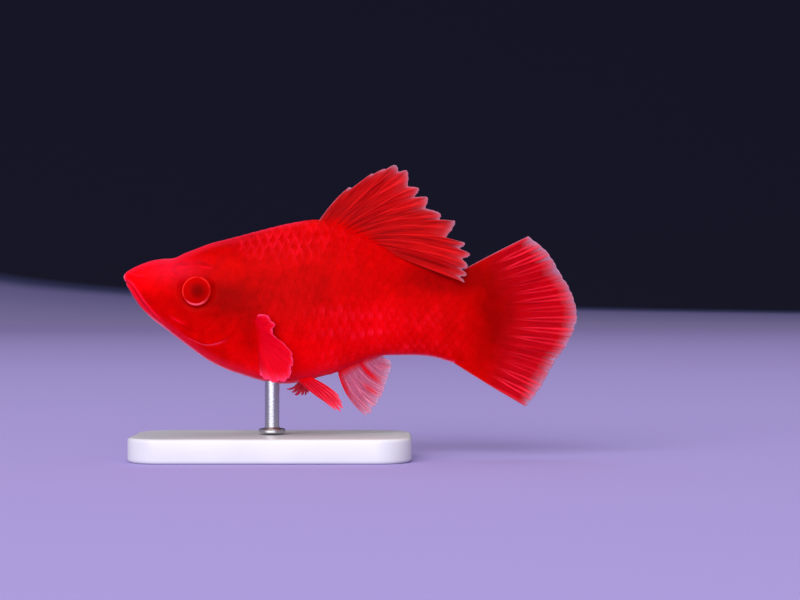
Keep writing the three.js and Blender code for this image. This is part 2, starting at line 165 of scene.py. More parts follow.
back_height = track([
    (0, 3.8), (0.3, 4.35), (0.8, 4.8), (2.3, 5.6), (4.4, 6.4), (6.2, 6.75), (8.5, 6.95), (10.2, 7.75),
    (11.8, 8.35), (14.3, 9.3), (18.4, 10.4), (23.1, 11.65), (27.5, 12.7), (31.8, 13.3), (34.8, 12.8),
    (38.6, 11.25), (42.4, 9.3), (45.2, 7.6), (48.9, 5.95), (51.4, 4.95), (54, 4.05), (56.4, 3.7),
    (58.6, 2.8), (60.2, 1.2), (61.1, -1), (61.5, -3.4),
])
belly_height = track([
    (0, 3.8), (0.35, 2.95), (0.9, 1.85), (1.7, 0.4), (2.9, -1.25), (4.8, -3.1), (6.9, -4.75),
    (11, -7.85), (13.9, -9.9), (16.8, -11.35), (20.1, -12.55), (23.1, -13.4), (26.7, -13.85),
    (30, -13.4), (32.8, -12.6), (35.1, -12), (37.4, -10.9), (39.9, -9.9), (42.7, -9.25), (45.6, -9.15),
    (48.9, -9.2), (51.3, -9.5), (54, -10.3), (56.4, -10.9), (58.6, -10.4), (60.2, -8.7), (61.1, -6.2),
    (61.5, -3.4),
])
half_width = track([
    (0, 0), (0.15, 0.8), (0.5, 1.4), (1.2, 2), (2.5, 2.6), (5, 3.25), (8, 3.85), (11, 4.3), (15, 4.75),
    (19, 5.3), (24, 5.8), (29, 5.85), (34, 5.3), (39, 4.35), (44, 3.3), (49, 2.35), (54, 1.55),
    (56, 1.1), (58, 0.64), (60, 0.26), (61, 0.1), (61.5, 0.02),
])
widest_at = track([
    (0, 0.6), (3, 0.66), (8, 0.62), (14, 0.52), (22, 0.45), (30, 0.42), (38, 0.48), (54, 0.52), (61.5, 0.5),
])
back_power = track([(0, 2.3), (6, 2.5), (14, 2.2), (24, 1.95), (32, 1.7), (42, 1.7), (54, 1.9)])
belly_power = track([(0, 2.1), (6, 1.9), (14, 1.85), (24, 2.1), (32, 2.1), (42, 1.9), (54, 1.9)])
SKIN_END = 61.5


def flank(s, angle):
    """How far out and how high the body's surface is, going round it from the fish's right side."""
    top, bottom, half = back_height(s), belly_height(s), half_width(s)
    middle = bottom + (top - bottom) * widest_at(s)
    sine, cosine = np.sin(angle), np.cos(angle)
    power = 2 / np.where(sine > 0, back_power(s), belly_power(s))
    depth = np.where(sine > 0, top - middle, middle - bottom)
    y = half * np.sign(cosine) * np.abs(cosine) ** power
    h = middle + depth * np.sign(sine) * np.abs(sine) ** power
    return y, h


def reach_at(s, h):
    """How far the body reaches out from the middle plane at a place on its side."""
    top, bottom = back_height(s), belly_height(s)
    middle = bottom + (top - bottom) * widest_at(s)
    power = np.where(h > middle, back_power(s), belly_power(s))
    depth = np.where(h > middle, top - middle, middle - bottom)
    share = np.minimum(np.abs(h - middle) / depth, 1)
    return half_width(s) * (1 - share**power) ** (1 / power)


def finer(*line, steps=6):
    """A line with smooth points added between its own."""
    last = len(line) - 1
    tracks = [track([(i, point[axis]) for i, point in enumerate(line)]) for axis in (0, 1)]
    places = np.linspace(0, last, last * steps + 1)
    return list(zip(tracks[0](places), tracks[1](places)))


# Lines on the head and the belly, as (s, h) points seen from the side
MOUTH = finer(
    (-0.3, 3.05), (0.9, 2.75), (1.75, 1.95), (3.3, -0.4), (4.8, -2.25), (6.2, -3.8), (7.8, -5.3),
)
OPERCLE_EDGE = finer(
    (16.2, 6.3), (18.4, 5.2), (19.9, 2.8), (20.4, -0.4), (19.6, -3.6), (17.9, -6.1), (16.4, -6.9),
    (14.6, -7.35), (13.1, -7.2), (11, -6.3), (9.4, -5.4),
)
PREOPERCLE = finer(
    (15.6, 4), (16.2, 1.2), (16, -2), (14.6, -4.4), (12.6, -5.3), (10.6, -4.9), (7.4, -3.1),
)
# Creases over the eye, painted darker as shade in them
EYE_FOLDS = [
    finer((8.8, 5.55), (9.9, 5.9), (11, 5.75)),
    finer((12.2, 5.95), (13.5, 5.85), (14.7, 5.4)),
]
VENT_FOLD = finer((35.9, -8.9), (32.4, -12.2))
NOSTRILS = [(9.1, 4.05, 0.3), (6.7, 4.45, 0.24)]
# Raised folds, painted lighter as highlight
LIGHT_FOLDS = [
    [(2.6, 5.3), (4.4, 4.7)], [(1, 4.35), (4.2, 3.75)], [(7.8, -2.6), (10.4, -4)],
    [(7.2, 4.75), (9.6, 3.5)], [(8.9, 5.1), (10, 5.35), (11.2, 5.3)], [(12.9, 5.3), (14.2, 5.35), (15.3, 5)],
]


def line_field(line, s, h):
    """How far each place is from a line, how far along the line that is, and on which side."""
    nearest = np.full(s.shape, np.inf)
    share = np.zeros(s.shape)
    side = np.zeros(s.shape)
    pieces = len(line) - 1
    for i in range(pieces):
        (s0, h0), (s1, h1) = line[i], line[i + 1]
        run, rise = s1 - s0, h1 - h0
        t = np.clip(((s - s0) * run + (h - h0) * rise) / (run * run + rise * rise), 0, 1)
        ds, dh = s - s0 - t * run, h - h0 - t * rise
        distance = np.hypot(ds, dh)
        closer = distance < nearest
        nearest = np.where(closer, distance, nearest)
        share = np.where(closer, (i + t) / pieces, share)
        side = np.where(closer, np.sign(run * dh - rise * ds), side)
    return nearest, share, side


# The skin round the eye, by the distance from the eye's centre: floor, wall, groove and outer rim
SOCKET = track([
    (0, -1.6), (2.25, -1.6), (2.5, -0.55), (2.62, -0.26), (2.88, -0.2), (3.12, -0.06), (3.35, 0.03),
    (4, 0.04), (5, 0),
])


def eye_relief(s, h):
    """The socket, with the skin drawn a little over the top of the eye in place of a groove."""
    along, up = s - EYE_AT[0], h - EYE_AT[1]
    away = np.hypot(along, up)
    above = smoothstep(0.35, 0.95, up / np.maximum(away, 0.01))
    height = SOCKET(away + 0.34 * above)
    return np.where(height > -0.4, height * (1 - 0.8 * above), height)


def opercle_relief(s, h):
    """The gill cover's plate, which stands proud along its free edge, most of all below."""
    distance, share, side = line_field(OPERCLE_EDGE, s, h)
    ends = 0.3 * smoothstep(0, 0.15, share) + 0.7 * smoothstep(0.4, 0.6, share)
    ends = ends * (1 - smoothstep(0.85, 1, share))
    plate = 0.2 * np.exp(-distance / 2.4) * smoothstep(0, 0.16, distance)
    return ends * np.where(side < 0, plate, -0.07 * bell(distance, 0.3))


def head_relief(s, h):
    """The height of the head's features above the smooth body, in millimetres."""
    distance, share, _ = line_field(MOUTH, s, h)
    gape = smoothstep(0.02, 0.25, share) * (1 - smoothstep(0.5, 1, share))
    lips = (0.03 + 0.04 * gape) * bell(distance - 0.42, 0.24)
    height = lips - (0.04 + 0.07 * gape) * bell(distance, 0.17)
    for s0, h0, radius in NOSTRILS:
        away = np.hypot(s - s0, h - h0)
        height += 0.06 * bell(away - 1.35 * radius, 0.4 * radius) - 0.14 * bell(away, 0.75 * radius)
    height += eye_relief(s, h) + opercle_relief(s, h)
    distance, share, _ = line_field(PREOPERCLE, s, h)
    height -= 0.07 * bell(distance, 0.26) * smoothstep(0, 0.2, share) * (1 - smoothstep(0.9, 1, share))
    for line in [*EYE_FOLDS, VENT_FOLD]:
        distance, share, _ = line_field(line, s, h)
        height += 0.05 * bell(distance - 0.5, 0.25) - 0.14 * bell(distance, 0.22)
    for line in LIGHT_FOLDS:
        distance, _, _ = line_field(line, s, h)
        height += 0.06 * bell(distance, 0.25)
    return height


# Tone: a few soft patches that make the red lighter or darker, the same on skin, scales and fin roots.
# Among them are painted shadow under the dorsal fin and in front of the pectoral fin, and painted light
# on the belly and the lower flank.

PATCHES = [
    # s, h, reach along, reach up, how much lighter
    (2.4, 3.4, 4.4, 2.6, 0.42),
    (16.5, 9.5, 6, 2.2, -0.3),
    (17.5, 0, 6, 3.6, -0.5),
    # painted shadow in front of the pectoral fin
    (21.2, -6.2, 1, 4, -0.3),
    (32.5, 1.2, 10, 3.6, -0.2),
    # painted light on the lower flank
    (42.5, -6, 4, 2.4, 0.12),
    # painted light on the belly
    (31, -11, 9, 4, 0.5),
    (41, -2.8, 8.5, 5.5, 0.25),
    # painted shadow under the drooping dorsal fin, in this row and the next
    (50.5, 3.6, 5.5, 2.8, -0.45),
    (56, 3.6, 4, 2.5, -0.35),
    (62.3, -0.8, 4, 11, -0.6),
    # painted light on the belly under the pectoral fin
    (23, -11.5, 5, 2.6, 0.3),
]


def patched(plain, patches, s, h):
    """A plain value with soft patches laid over it, kept from 0 to 1."""
    value = np.full(np.shape(s), plain)
    for s0, h0, along, up, amount in patches:
        value = value + amount * np.exp(-(((s - s0) / along) ** 2) - ((h - h0) / up) ** 2)
    return np.clip(value, 0, 1)


def tone(s, h):
    """How light the red is, from 0 to 1, painted shade and light included."""
    return patched(0.5, PATCHES, s, h)


def blush(s, h):
    """How pink the red is where the flesh is thin: along the chin, the belly and the snout's ridge, and on
    the underside also painted light on its shaded side; a pink patch on the forehead, which is a painted
    sheen;
    and palest in a narrow rim on the very outline, a painted glow of light through the thin edge, which
    stops where a fin stands."""
    top, bottom = back_height(s), belly_height(s)
    low = (1 - smoothstep(0, 2.2, h - bottom)) * (1 - smoothstep(30, 40, s))
    high = (1 - smoothstep(0, 1.3, top - h)) * (1 - smoothstep(12, 26, s))
    # painted sheen on the forehead
    forehead_sheen = 0.35 * np.exp(-(((s - 8.5) / 4) ** 2) - ((h - 5.2) / 1.8) ** 2)
    ends = (0.65 + 0.35 * smoothstep(1, 5, s)) * (1 - 0.4 * bell(s - 36, 7))
    # the narrow rim on the outline: a painted glow of light through the thin edge
    painted_glow_low = ends * (1 - smoothstep(0.05, 1.1 - 0.4 * smoothstep(8, 16, s), h - bottom))
    painted_glow_high = 0.7 * (1 - smoothstep(0, 0.5, top - h)) * (1 - smoothstep(29, 31, s))
    rim = np.maximum(painted_glow_low, painted_glow_high)
    return np.clip(np.maximum(0.72 * low + 0.5 * high + forehead_sheen, rim), 0, 1)


def head_lines(s, h):
    """The thin lines of the mouth, the gill cover and the eye: pale above 0, dark below. The dark line in
    the mouth's groove, the dark creases over the eye and the dark groove below it are painted shade; the
    pale raised folds are painted highlight.
    """
    # The mouth: a pale lip, and a dark line that is painted shade in its groove
    distance, share, _ = line_field(MOUTH, s, h)
    ends = smoothstep(0.02, 0.12, share) * (1 - smoothstep(0.7, 1, share))
    lines = ends * (0.6 * bell(distance - 0.42, 0.2) - 0.2 * bell(distance, 0.17))
    distance, share, _ = line_field(OPERCLE_EDGE, s, h)
    lines += 0.9 * bell(distance, 0.14) * smoothstep(0.5, 0.62, share) * (1 - smoothstep(0.88, 1, share))
    # Painted shade in the creases over the eye
    for line in EYE_FOLDS:
        distance, share, _ = line_field(line, s, h)
        lines -= 0.26 * bell(distance, 0.3) * np.sin(np.pi * share)
    # Painted highlight along the raised folds
    for line in LIGHT_FOLDS:
        distance, share, _ = line_field(line, s, h)
        lines += 0.3 * bell(distance, 0.17) * np.sin(np.pi * share)
    # Painted shade in the groove below the eye
    away = np.hypot(s - EYE_AT[0], h - EYE_AT[1])
    below = 1 - smoothstep(0.2, 0.8, (h - EYE_AT[1]) / np.maximum(away, 0.01))
    return lines - 0.18 * below * bell(away - 2.9, 0.32)


# Where the scales begin behind the head, as (h, s), and where they end on the tail's root
NAPE = track([(-14, 16.5), (-10, 18), (-6, 19.6), (0, 20.8), (4, 20.4), (7, 17.6), (9, 15.2), (11, 13.6)])
SCALES_END = 59.5
SCALES_FADE = 5.5


def scaled(s, h):
    """How fully the scales stand: none on the head, rising behind it, and falling away on the tail."""
    return smoothstep(0, SCALES_FADE, s - NAPE(h)) * (1 - smoothstep(SCALES_END - 4, SCALES_END, s))


# How much of the painted highlight on each scale's rim shows: most on the upper back and in rows along the
# flank
RIM_PATCHES = [
    # s, h, reach along, reach up, amount
    (25.5, 9.6, 8, 2.6, 0.5),
    (37.5, -2.4, 5.5, 0.8, 1),
    (38, -5.4, 6, 0.8, 1),
    (34.5, -10, 2.6, 1.6, 0.5),
    (47, -7.8, 6, 1, 0.5),
    (49, -3.4, 5, 1.4, 0.3),
]


def rim_show(s, h):
    return patched(0.05, RIM_PATCHES, s, h)


# Materials

def add(tree, kind, inputs=(), stops=(), **settings):
    """Adds a node with its settings and links. An input is a number, a colour, a socket, or a node,
    whose first result it takes. stops are a ramp's places with hex colours or greys."""
    made = tree.nodes.new("ShaderNode" + kind)
    for setting, value in settings.items():
        setattr(made, setting, value)
    for socket, value in dict(inputs).items():
        if isinstance(value, bpy.types.Node):
            value = next(result for result in value.outputs if result.enabled)
        if isinstance(value, bpy.types.NodeSocket):
            tree.links.new(value, made.inputs[socket])
        else:
            made.inputs[socket].default_value = value
    for _ in stops[2:]:
        made.color_ramp.elements.new(0.5)
    for i, (place, colour) in enumerate(stops):
        stop = made.color_ramp.elements[i]
        stop.position = place
        stop.color = linear(colour) if isinstance(colour, str) else [colour] * 3 + [1]
    return made


def blank_material(name):
    material = bpy.data.materials.new(name)
    material.use_nodes = True
    tree = material.node_tree
    tree.nodes.clear()
    return material, tree


# Fish flesh: soft and red all through under a film of mucus, so the red is deep, with a low wet shine
# and edges that light shines through a little. The skin's finest folds are near 0.1 mm in life, drawn
# coarser here so that they show, and its clouds of pigment are about as wide as a scale.
FLESH_DARK = "#930000"
FLESH_RED = "#C10000"
FLESH_LIGHT = "#F20006"
FLESH_PINK = "#DD1A3D"
# FLESH_RIM is the palest pink, reached in the painted glow along the outline
FLESH_RIM = "#FF7490"
# The colour of the painted highlight on the scales' rims
SCALE_RIM_HIGHLIGHT = "#FF1C3C"
SKIN_GRAIN_MM = 0.45
SKIN_MOTTLE_MM = 1.8
FLESH_SCATTER = (1.0, 0.08, 0.06)


def flesh_colour(tree):
    """The body's red, from the tone, blush and lines that every piece of flesh and fin root carries, painted
    shade, light, sheen and glow among them.
    """
    place = add(tree, "TexCoord").outputs["Object"]
    mottle = add(tree, "TexNoise", {"Vector": place, "Scale": 1 / (SKIN_MOTTLE_MM * MM), "Detail": 4})
    bare, tone, blush, lines = (
        add(tree, "Attribute", attribute_name=read).outputs["Fac"]
        for read in ("bare", "tone", "blush", "lines"))
    amount = add(tree, "MapRange", {"Value": bare, "To Min": 0.45, "To Max": 0.65})
    cloud = add(tree, "Math", {0: mottle, 1: 0.5}, operation="SUBTRACT")
    cloud = add(tree, "Math", {0: cloud, 1: amount}, operation="MULTIPLY")
    light = add(tree, "Math", {0: tone, 1: cloud}, operation="ADD")
    light = add(tree, "Math", {0: light, 1: lines}, operation="ADD")
    colour = add(tree, "ValToRGB", {"Fac": light}, [(0, FLESH_DARK), (0.5, FLESH_RED), (1, FLESH_LIGHT)])
    pink = add(tree, "Math", {0: blush, 1: lines}, operation="MAXIMUM")
    thin = add(tree, "ValToRGB", {"Fac": pink}, [(0.6, FLESH_PINK), (1, FLESH_RIM)])
    return add(tree, "Mix", {0: pink, 6: colour, 7: thin}, data_type="RGBA"), mottle


def fish_skin(name, scale_rims, scatter_mm, sheen):
    material, tree = blank_material(name)
    colour, mottle = flesh_colour(tree)
    if scale_rims:
        # The painted highlight on the scales' rims, broken into patches by the mottle
        patchy = add(tree, "ValToRGB", {"Fac": mottle}, [(0.35, 0.35), (0.65, 1.0)])
        rim = add(tree, "Attribute", attribute_name="rim").outputs["Fac"]
        rim = add(tree, "Math", {0: rim, 1: patchy}, operation="MULTIPLY")
        colour = add(tree, "Mix", {0: rim, 6: colour, 7: linear(SCALE_RIM_HIGHLIGHT)}, data_type="RGBA")
    place = add(tree, "TexCoord").outputs["Object"]
    grain = add(tree, "TexNoise", {"Vector": place, "Scale": 1 / (SKIN_GRAIN_MM * MM), "Detail": 2})
    bump = add(tree, "Bump", {"Height": grain, "Distance": 0.03 * MM, "Strength": 0.5})
    shader = add(tree, "BsdfPrincipled", {
        "Base Color": colour, "Normal": bump, "Roughness": 0.42, "Specular IOR Level": 0.02, "IOR": 1.38,
        "Subsurface Weight": 0.35, "Subsurface Radius": FLESH_SCATTER, "Subsurface Scale": scatter_mm * MM,
        "Sheen Weight": sheen, "Sheen Roughness": 0.15, "Sheen Tint": linear("#EB8EA6"),
    })
    add(tree, "OutputMaterial", {"Surface": shader})
    return material


# How many streaks and threads lie across a fin, and how often they change along it. A real thread is
# under 0.1 mm wide. Those of the two large fins are drawn at about 0.2 mm, so that they show.
FIN_STREAKS = (30, 1.8, 1)
FIN_THREADS = (110, 4, 1)


def fin_tissue(name, membrane, fold, ray, rim, clear, fleshy, rays_from=0.0, rays_show=1.0, haze=0.0,
               edge_clear=0.6, dark=None):
    """Soft-rayed fin: horny jointed rays in a thin wet skin, fleshy at its root and nearly clear at
    its edge, where light comes through. fleshy is where along it the flesh starts and ends to thin."""
    material, tree = blank_material(name)
    along, across, ridge, stain, edge = (
        add(tree, "Attribute", attribute_name=read).outputs["Fac"]
        for read in ("along", "across", "ridge", "stain", "edge"))
    fan = add(tree, "CombineXYZ", {"X": across, "Y": along})
    drawn = add(tree, "VectorMath", {0: fan, 1: FIN_STREAKS}, operation="MULTIPLY")
    streak = add(tree, "TexNoise", {"Vector": drawn, "Scale": 1, "Detail": 4})
    drawn = add(tree, "VectorMath", {0: fan, 1: FIN_THREADS}, operation="MULTIPLY")
    threads = add(tree, "TexNoise", {"Vector": drawn, "Scale": 1, "Detail": 1})
    both = add(tree, "Math", {0: streak, 1: threads}, operation="ADD")
    folded = add(tree, "ValToRGB", {"Fac": add(tree, "Math", {0: both, 1: 0.5}, operation="MULTIPLY")}, [
        (0.38, 1.0), (0.56, 0.0),
    ])
    grown = add(tree, "ValToRGB", {"Fac": along}, [(rays_from, 0.0), (rays_from + 0.22, rays_show)])
    uneven = add(tree, "MapRange", {"Value": streak, "From Min": 0.4, "From Max": 0.6, "To Min": 0.4})
    bright = add(tree, "Math", {0: ridge, 1: grown}, operation="MULTIPLY")
    bright = add(tree, "Math", {0: bright, 1: uneven}, operation="MULTIPLY")
    flesh = add(tree, "ValToRGB", {"Fac": along}, [(fleshy[0], 1.0), (fleshy[1], 0.0)])
    misted = add(tree, "MapRange", {"Value": edge, "From Max": 2.5, "To Min": haze, "To Max": 0.0})
    ragged = add(tree, "MapRange", {"Value": both, "From Max": 2.0, "To Min": -0.75, "To Max": 0.75})
    to_edge = add(tree, "Math", {0: edge, 1: ragged}, operation="ADD")
    pale = add(tree, "ValToRGB", {"Fac": to_edge}, [
        (0.0, 0.9), (0.14, 0.5), (0.34, 0.25), (0.62, 0.08), (1.0, 0.0),
    ])
    hem = add(tree, "ValToRGB", {"Fac": edge}, [(0.04, 1.0), (0.11, 0.0)])
    # Each of these lies over the ones before it; the dark one carries stains and painted shade
    colour = linear(membrane)
    for share, over in [
        (folded, linear(fold)), (bright, linear(ray)), (flesh, flesh_colour(tree)[0]),
        (stain, linear(dark or fold)), (misted, linear(rim)), (pale, linear(rim)),
    ]:
        colour = add(tree, "Mix", {0: share, 6: colour, 7: over}, data_type="RGBA")
    solid = add(tree, "Math", {0: ridge, 1: stain}, operation="MAXIMUM")
    solid = add(tree, "Math", {0: solid, 1: flesh}, operation="MAXIMUM")
    thin = add(tree, "MapRange", {"Value": solid, "To Min": clear, "To Max": 0.0})
    faded = add(tree, "Math", {0: pale, 1: edge_clear}, operation="MULTIPLY")
    thin = add(tree, "Math", {0: misted, 1: 2.5, 2: thin}, operation="MULTIPLY_ADD")
    through = add(tree, "Math", {0: thin, 1: faded}, operation="MAXIMUM")
    kept = add(tree, "MapRange", {"Value": hem, "To Min": 1.0, "To Max": 0.35})
    through = add(tree, "Math", {0: through, 1: kept}, operation="MULTIPLY")
    shader = add(tree, "BsdfPrincipled", {
        "Base Color": colour, "Alpha": add(tree, "Math", {0: 1.0, 1: through}, operation="SUBTRACT"),
        "Roughness": 0.45, "Specular IOR Level": 0.02, "IOR": 1.38,
        "Subsurface Weight": 0.4, "Subsurface Radius": FLESH_SCATTER, "Subsurface Scale": 0.3 * MM,
    })
    add(tree, "OutputMaterial", {"Surface": shader})
    return material


IRIS_MOTTLE_MM = 1.3


def wet_eye():
    """Clear cornea over a red iris: smooth and wet, with a soft dark pupil and a bright ring round
    the iris, whose paler lower edge is a painted reflection of light from below. The eyeball's very edge
    is painted shade, where it sinks into its socket."""
    material, tree = blank_material("wet_cornea_over_red_iris")
    from_axis, from_pupil, low = (
        add(tree, "Attribute", attribute_name=read).outputs["Fac"]
        for read in ("from_axis", "from_pupil", "low"))
    share = add(tree, "Math", {0: from_axis, 1: EYE_RADIUS}, operation="DIVIDE")
    pupil = add(tree, "Math", {0: from_pupil, 1: EYE_RADIUS}, operation="DIVIDE")
    colour = add(tree, "ValToRGB", {"Fac": pupil}, [
        (0.14, "#7C0000"), (0.36, "#900000"), (0.56, "#AD0000"), (0.9, "#B60000"),
    ])
    ring = add(tree, "ValToRGB", {"Fac": share}, [(0.77, 0.0), (0.83, 1.0), (0.87, 1.0), (0.92, 0.0)])
    place = add(tree, "TexCoord").outputs["Object"]
    mottle = add(tree, "TexNoise", {"Vector": place, "Scale": 1 / (IRIS_MOTTLE_MM * MM), "Detail": 1})
    broken = add(tree, "MapRange", {"Value": mottle, "From Min": 0.4, "From Max": 0.6, "To Min": 0.25})
    # Along the lower edge the ring is always whole and paler: a painted reflection of light from below
    shown = add(tree, "Math", {0: broken, 1: low}, operation="MAXIMUM")
    ring = add(tree, "Math", {0: ring, 1: shown}, operation="MULTIPLY")
    lit = add(tree, "Mix", {0: low, 6: linear("#DC1E1C"), 7: linear("#FF5468")}, data_type="RGBA")
    colour = add(tree, "Mix", {0: ring, 6: colour, 7: lit}, data_type="RGBA")
    # Painted shade at the eyeball's very edge, where it sinks into its socket
    dark = add(tree, "ValToRGB", {"Fac": share}, [(0.91, 0.0), (0.97, 1.0)])
    colour = add(tree, "Mix", {0: dark, 6: colour, 7: linear("#A60000")}, data_type="RGBA")
    shader = add(tree, "BsdfPrincipled", {
        "Base Color": colour, "Roughness": 0.5, "Specular IOR Level": 0.01, "IOR": 1.376,
        "Coat Weight": 0.01, "Coat Roughness": 0.06, "Coat IOR": 1.376,
        "Subsurface Weight": 0.3, "Subsurface Radius": FLESH_SCATTER, "Subsurface Scale": 0.5 * MM,
    })
    add(tree, "OutputMaterial", {"Surface": shader})
    return material


LACQUER_PEEL_MM = 0.8
LACQUER_CLOUD_MM = 14


def satin_lacquer():
    """Sprayed lacquer on board: even satin sheen over a very fine orange peel."""
    material, tree = blank_material("satin_white_lacquer")
    place = add(tree, "TexCoord").outputs["Object"]
    peel = add(tree, "TexNoise", {"Vector": place, "Scale": 1 / (LACQUER_PEEL_MM * MM), "Detail": 2})
    bump = add(tree, "Bump", {"Height": peel, "Distance": 0.02 * MM, "Strength": 0.4})
    cloud = add(tree, "TexNoise", {"Vector": place, "Scale": 1 / (LACQUER_CLOUD_MM * MM), "Detail": 3})
    colour = add(tree, "ValToRGB", {"Fac": cloud}, [(0.3, "#CCCAD2"), (0.7, "#D5D4D9")])
    rough = add(tree, "MapRange", {"Value": cloud, "To Min": 0.26, "To Max": 0.42})
    shader = add(tree, "BsdfPrincipled", {
        "Base Color": colour, "Roughness": rough, "Normal": bump, "IOR": 1.5,
    })
    add(tree, "OutputMaterial", {"Surface": shader})
    return material


GRINDING_RINGS_MM = 0.12


def ground_steel():
    """Ground stainless steel: fine rings left by the wheel, running round the rod. In life they are
    about 0.02 mm apart, too fine for the render, so they are drawn coarser."""
    material, tree = blank_material("ground_steel")
    place = add(tree, "TexCoord").outputs["Object"]
    squeezed = add(tree, "Mapping", {"Vector": place, "Scale": (20, 20, 1 / (GRINDING_RINGS_MM * MM))})
    rings = add(tree, "TexNoise", {"Vector": squeezed, "Scale": 1, "Detail": 2})
    rough = add(tree, "MapRange", {"Value": rings, "To Min": 0.16, "To Max": 0.4})
    bump = add(tree, "Bump", {"Height": rings, "Distance": 0.01 * MM, "Strength": 0.5})
    shader = add(tree, "BsdfPrincipled", {
        "Base Color": linear("#B6B7B9"), "Metallic": 1.0, "Roughness": rough, "Normal": bump,
    })
    add(tree, "OutputMaterial", {"Surface": shader})
    return material


# How much sooner the paper darkens upwards for each metre to the right
SOONER_TO_RIGHT = 1.37


def graduated_paper():
    """Graduated studio paper: matt, pale lavender on the floor, turning to deep blue up the wall."""
    material, tree = blank_material("graduated_paper")
    place = add(tree, "TexCoord").outputs["Object"]
    place = add(tree, "SeparateXYZ", {"Vector": place})
    sooner = {0: place.outputs["X"], 1: SOONER_TO_RIGHT, 2: 1.0}
    steeper = add(tree, "Math", sooner, operation="MULTIPLY_ADD")
    height = add(tree, "Math", {0: place.outputs["Z"], 1: steeper}, operation="MULTIPLY")
    up = add(tree, "MapRange", {"Value": height, "From Min": -0.001, "From Max": 0.03})
    colour = add(tree, "ValToRGB", {"Fac": up}, [
        (0, "#A797D2"), (0.18, "#9B90BF"), (0.41, "#8A81AF"), (0.64, "#7870A0"), (0.76, "#3B3F63"),
        (0.87, "#1A1A2E"),
    ])
    shader = add(tree, "BsdfPrincipled", {
        "Base Color": colour, "Roughness": 0.9, "Specular IOR Level": 0.1,
    })
    add(tree, "OutputMaterial", {"Surface": shader})
    return material


# The skin

SKIN_RINGS = 330
SKIN_SECTORS = 256
RING_CROWDING = 1.4
SCALE_BED = 0.12


def make_skin(material):
    """One skin from the snout to inside the tail fin's root: a ball, drawn out to the body's shape."""
    bm = bmesh.new()
    bmesh.ops.create_uvsphere(bm, u_segments=SKIN_SECTORS, v_segments=SKIN_RINGS, radius=1)
    ball = coordinates(bm)
    share = np.arccos(np.clip(-ball[:, 2], -1, 1)) / math.pi
    angle = np.arctan2(ball[:, 1], ball[:, 0])
    s = SKIN_END * share**RING_CROWDING
    y, h = flank(s, angle)
    move_to(bm, placed(s, y, h))
    bmesh.ops.recalc_face_normals(bm, faces=bm.faces[:])
    bm.normal_update()
    outward = np.array([vert.normal for vert in bm.verts])
    height = head_relief(s, h) - SCALE_BED * scaled(s, h)
    move_to(bm, coordinates(bm) + outward * height[:, None] * MM)
    label(bm, tone=tone(s, h), blush=blush(s, h), lines=head_lines(s, h), bare=1 - scaled(s, h))
    piece = piece_from(bm, "skin", material)
    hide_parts("head", "lower_jaw", "gill_cover_left", "gill_cover_right", "trunk", "tail_stalk")


# The scales

SCALE_PITCH = 1.43
SCALE_ROWS = 16
SCALE_REACH = 1.25
SCALE_SPREAD = 1.2
SCALE_THICKNESS = 0.04
SCALE_LIFT = -0.02
SCALE_TILT = 0.12
SCALE_CELLS = 4
SCALE_SIZES = (0.93, 1.07)
GIRTH_STEPS = 128
STEP_BEHIND = 0.05
STEP_ROUND = 0.004
BAKE_PATCH = 0.003


def girth_table():
    """The body's right side at even steps along it and round it, from the back to the belly."""
    stations = np.arange(10, SKIN_END, 0.25)
    angles = np.linspace(math.pi / 2, -math.pi / 2, 2 * GIRTH_STEPS)
    shares = np.linspace(0, 1, GIRTH_STEPS)
    rows = []
    for s in stations:
        y, h = flank(np.full(angles.shape, s), angles)
        round_it = np.concatenate([[0], np.cumsum(np.hypot(np.diff(y), np.diff(h)))])
        rows.append([np.interp(shares, round_it / round_it[-1], value) for value in (y, h)])
    return stations, np.array(rows)


def girth_places(table, s, share):
    """Places on the body at a share of the way round its right side; past either end is the left."""
    stations, rows = table
    over = (share < 0) | (share > 1)
    share = np.where(share < 0, -share, np.where(share > 1, 2 - share, share))
    at = np.clip((s - stations[0]) / (stations[1] - stations[0]), 0, len(stations) - 1.001)
    round_it = np.clip(share * (GIRTH_STEPS - 1), 0, GIRTH_STEPS - 1.001)
    i, j = at.astype(int), round_it.astype(int)
    t, u = at - i, round_it - j

    def read(axis):
        grid = rows[:, axis]
        low = grid[i, j] * (1 - u) + grid[i, j + 1] * u
        high = grid[i + 1, j] * (1 - u) + grid[i + 1, j + 1] * u
        return low * (1 - t) + high * t

    return np.where(over, -1, 1) * read(0), read(1)


def scale_roots(table):
    """Where each scale grows: its s, its share of the way round, its side and its size."""
    roots = []
    for row in range(SCALE_ROWS + 1):
        share = row / SCALE_ROWS
        for step in range(int(SCALES_END / SCALE_PITCH)):
            s = (step + 0.5 * (row % 2)) * SCALE_PITCH
            _, h = girth_places(table, np.array([s]), np.array([share]))
            if scaled(s, h[0]) > 0:
                for side in (1,) if row in (0, SCALE_ROWS) else (-1, 1):
                    roots.append((s, share, side, random.uniform(*SCALE_SIZES)))
    return np.array(roots)


